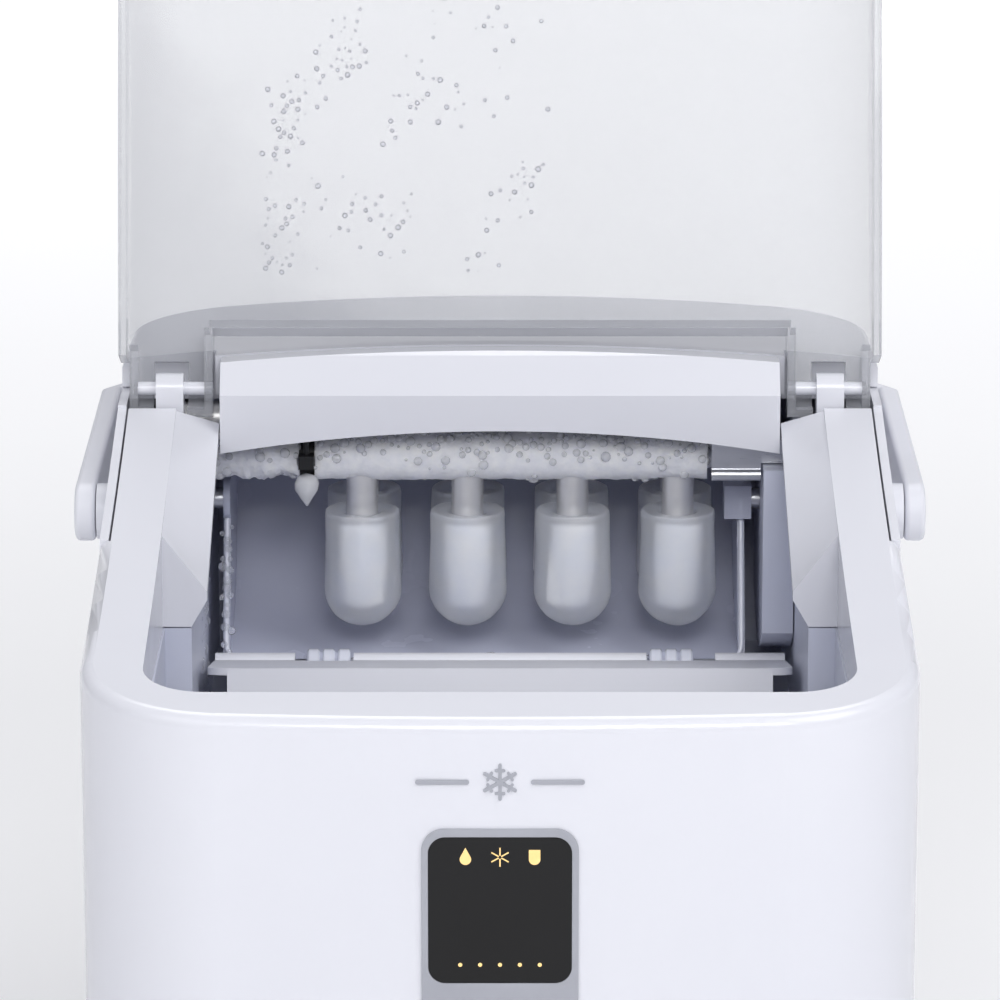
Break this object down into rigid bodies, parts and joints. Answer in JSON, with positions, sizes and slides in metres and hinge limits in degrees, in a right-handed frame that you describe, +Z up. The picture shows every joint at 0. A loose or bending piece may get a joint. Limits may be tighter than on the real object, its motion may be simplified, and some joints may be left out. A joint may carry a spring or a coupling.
{
  "type": "ice maker",
  "caption": "Countertop bullet-ice maker: rounded box with clear hinged lid, carry bail, tipping water tray, frosted freezing fingers, ice flap and lift-out basket",
  "frame": {"origin": "on the table, under the middle of the whole object with the lid open and the bail folded back", "axes": "+X to the user's right, +Y from the front panel to the back, +Z up"},
  "size_m": [0.244, 0.326, 0.4929],
  "materials": {
    "abs_white": "moulded glossy white ABS",
    "abs_light": "moulded white polypropylene",
    "liner_grey": "vacuum-formed pale blue-grey liner",
    "clear_lid": "clear glossy moulded plastic",
    "tray_smoke": "smoky translucent moulded plastic",
    "ice": "frosted clear ice",
    "nickel": "nickel-plated copper",
    "stainless": "stainless steel",
    "black_plastic": "moulded black plastic",
    "rubber": "grey-black rubber",
    "bezel_grey": "light grey moulded plastic",
    "display_black": "black smoked window",
    "circuit_board": "green fibreglass board",
    "sensor_dark": "dark infrared-clear plastic",
    "foam": "expanded foam",
    "black_paint": "black enamelled steel shell",
    "copper": "drawn copper",
    "aluminium_fin": "thin aluminium sheet",
    "valve_body": "brass valve with black coil"
  },
  "bodies": {
    "housing": {"base_pan": "abs_white", "compressor": "black_paint", "compressor_grommets": "rubber", "condenser_coil": "copper", "condenser_fins": "aluminium_fin", "control_board": "circuit_board", "display_bezel": "bezel_grey", "display_lens": "display_black", "drain_outlet": "black_plastic", "evaporator_bracket": "stainless", "evaporator_hood": "abs_white", "evaporator_tube": "nickel", "fan_motor": "black_plastic", "fan_shroud": "black_plastic", "fill_spout": "abs_light", "filter_drier": "copper", "freezing_fingers": "nickel", "front_housing": "abs_white", "hot_gas_line": "copper", "hot_gas_valve": "valve_body", "ice_bullets": "ice", "ice_full_emitter": "sensor_dark", "ice_full_receiver": "sensor_dark", "inner_liner": "liner_grey", "left_bail_pivot": "abs_light", "left_hinge_block": "abs_white", "left_side_panel": "abs_white", "mains_inlet": "black_plastic", "power_board": "circuit_board", "probe_clip": "black_plastic", "probe_lead": "black_plastic", "rear_deck": "abs_white", "rear_panel": "abs_white", "right_bail_pivot": "abs_light", "right_hinge_block": "abs_white", "right_side_panel": "abs_white", "rubber_feet": "rubber", "snowflake_badge": "bezel_grey", "suction_line": "copper", "tank_insulation": "foam", "terminal_cover": "black_plastic", "tray_motor": "black_plastic", "tray_motor_cover": "liner_grey", "water_hose": "rubber", "water_level_sensor": "sensor_dark", "water_pump": "black_plastic"},
    "lid": {"lid": "clear_lid"},
    "bail": {"carry_handle": "abs_light"},
    "basket": {"ice_basket": "abs_light"},
    "tray": {"water_tray": "tray_smoke", "tray_pivot_pin": "stainless", "tray_drive_shaft": "stainless"},
    "flap": {"pusher_flap": "abs_light", "flap_hinge_pin": "stainless"},
    "fan": {"fan_blades": "black_plastic"},
    "power_key": {"power_button": "bezel_grey"},
    "select_key": {"select_button": "bezel_grey"},
    "drain_plug": {"drain_cap": "black_plastic"}
  },
  "joints": [
    {"name": "lid_hinge", "type": "hinge", "parent": "housing", "child": "lid", "pos_m": [0, 0.051, 0.284], "axis": [-1, 0, 0], "range_deg": [-114.5, 0]},
    {"name": "bail_swing", "type": "hinge", "parent": "housing", "child": "bail", "pos_m": [0, 0.014, 0.2568], "axis": [1, 0, 0], "range_deg": [0, 50]},
    {"name": "basket_lift", "type": "slide", "parent": "housing", "child": "basket", "axis": [0, 0, 1], "range_m": [0, 0.14]},
    {"name": "tray_tilt", "type": "hinge", "parent": "housing", "child": "tray", "pos_m": [0, 0.0686, 0.246], "axis": [-1, 0, 0], "range_deg": [0, 68]},
    {"name": "flap_swing", "type": "hinge", "parent": "tray", "child": "flap", "pos_m": [0, 0.045, 0.202], "axis": [-1, 0, 0], "range_deg": [-101, 0]},
    {"name": "fan_spin", "type": "hinge", "parent": "housing", "child": "fan", "pos_m": [0.034, 0.096, 0.112], "axis": [0, 1, 0], "continuous": true},
    {"name": "power_press", "type": "slide", "parent": "housing", "child": "power_key", "axis": [0, 1, 0], "range_m": [0, 0.0015], "stiffness_N_per_m": 400},
    {"name": "select_press", "type": "slide", "parent": "housing", "child": "select_key", "axis": [0, 1, 0], "range_m": [0, 0.0015], "stiffness_N_per_m": 400},
    {"name": "drain_pull", "type": "slide", "parent": "housing", "child": "drain_plug", "axis": [1, 0, 0], "range_m": [0, 0.015]}
  ],
  "couplings": [
    {"joint": "flap_swing", "follows": "tray_tilt", "ratio": -1.485}
  ]
}
